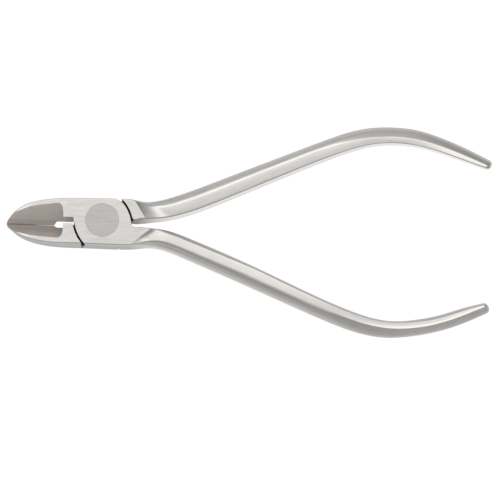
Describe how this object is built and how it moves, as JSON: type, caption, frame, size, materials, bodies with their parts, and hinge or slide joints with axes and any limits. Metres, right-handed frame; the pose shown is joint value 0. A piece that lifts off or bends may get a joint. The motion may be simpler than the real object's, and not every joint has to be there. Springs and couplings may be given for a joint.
{
  "type": "diagonal cutting nippers",
  "caption": "Slim all-metal diagonal cutting nippers with a lapped joint, a flush pivot rivet, short ground jaws with brazed cutting strips and long bowed bare handles.",
  "frame": {"origin": "on the pivot axis, on the flat back face, which is also the lowest face when the tool lies flat", "axes": "+Z along the pivot axis towards the rivet head, +X towards the handle ends, +Y towards the upper handle; the jaws point to -X"},
  "size_m": [0.1306, 0.0574, 0.0086],
  "materials": {
    "lever_steel": "satin brushed stainless steel",
    "rivet_steel": "fine ground stainless steel",
    "hard_metal": "smooth ground hard metal, brown-grey"
  },
  "bodies": {
    "front_lever_body": {"front_lever": "lever_steel", "upper_jaw_insert": "hard_metal"},
    "rear_lever_body": {"rear_lever": "lever_steel", "lower_jaw_insert": "hard_metal", "pivot_rivet": "rivet_steel"}
  },
  "joints": [
    {"name": "pivot", "type": "hinge", "parent": "front_lever_body", "child": "rear_lever_body", "pos_m": [0, 0, 0.0043], "axis": [0, 0, 1], "range_deg": [0, 35]}
  ]
}
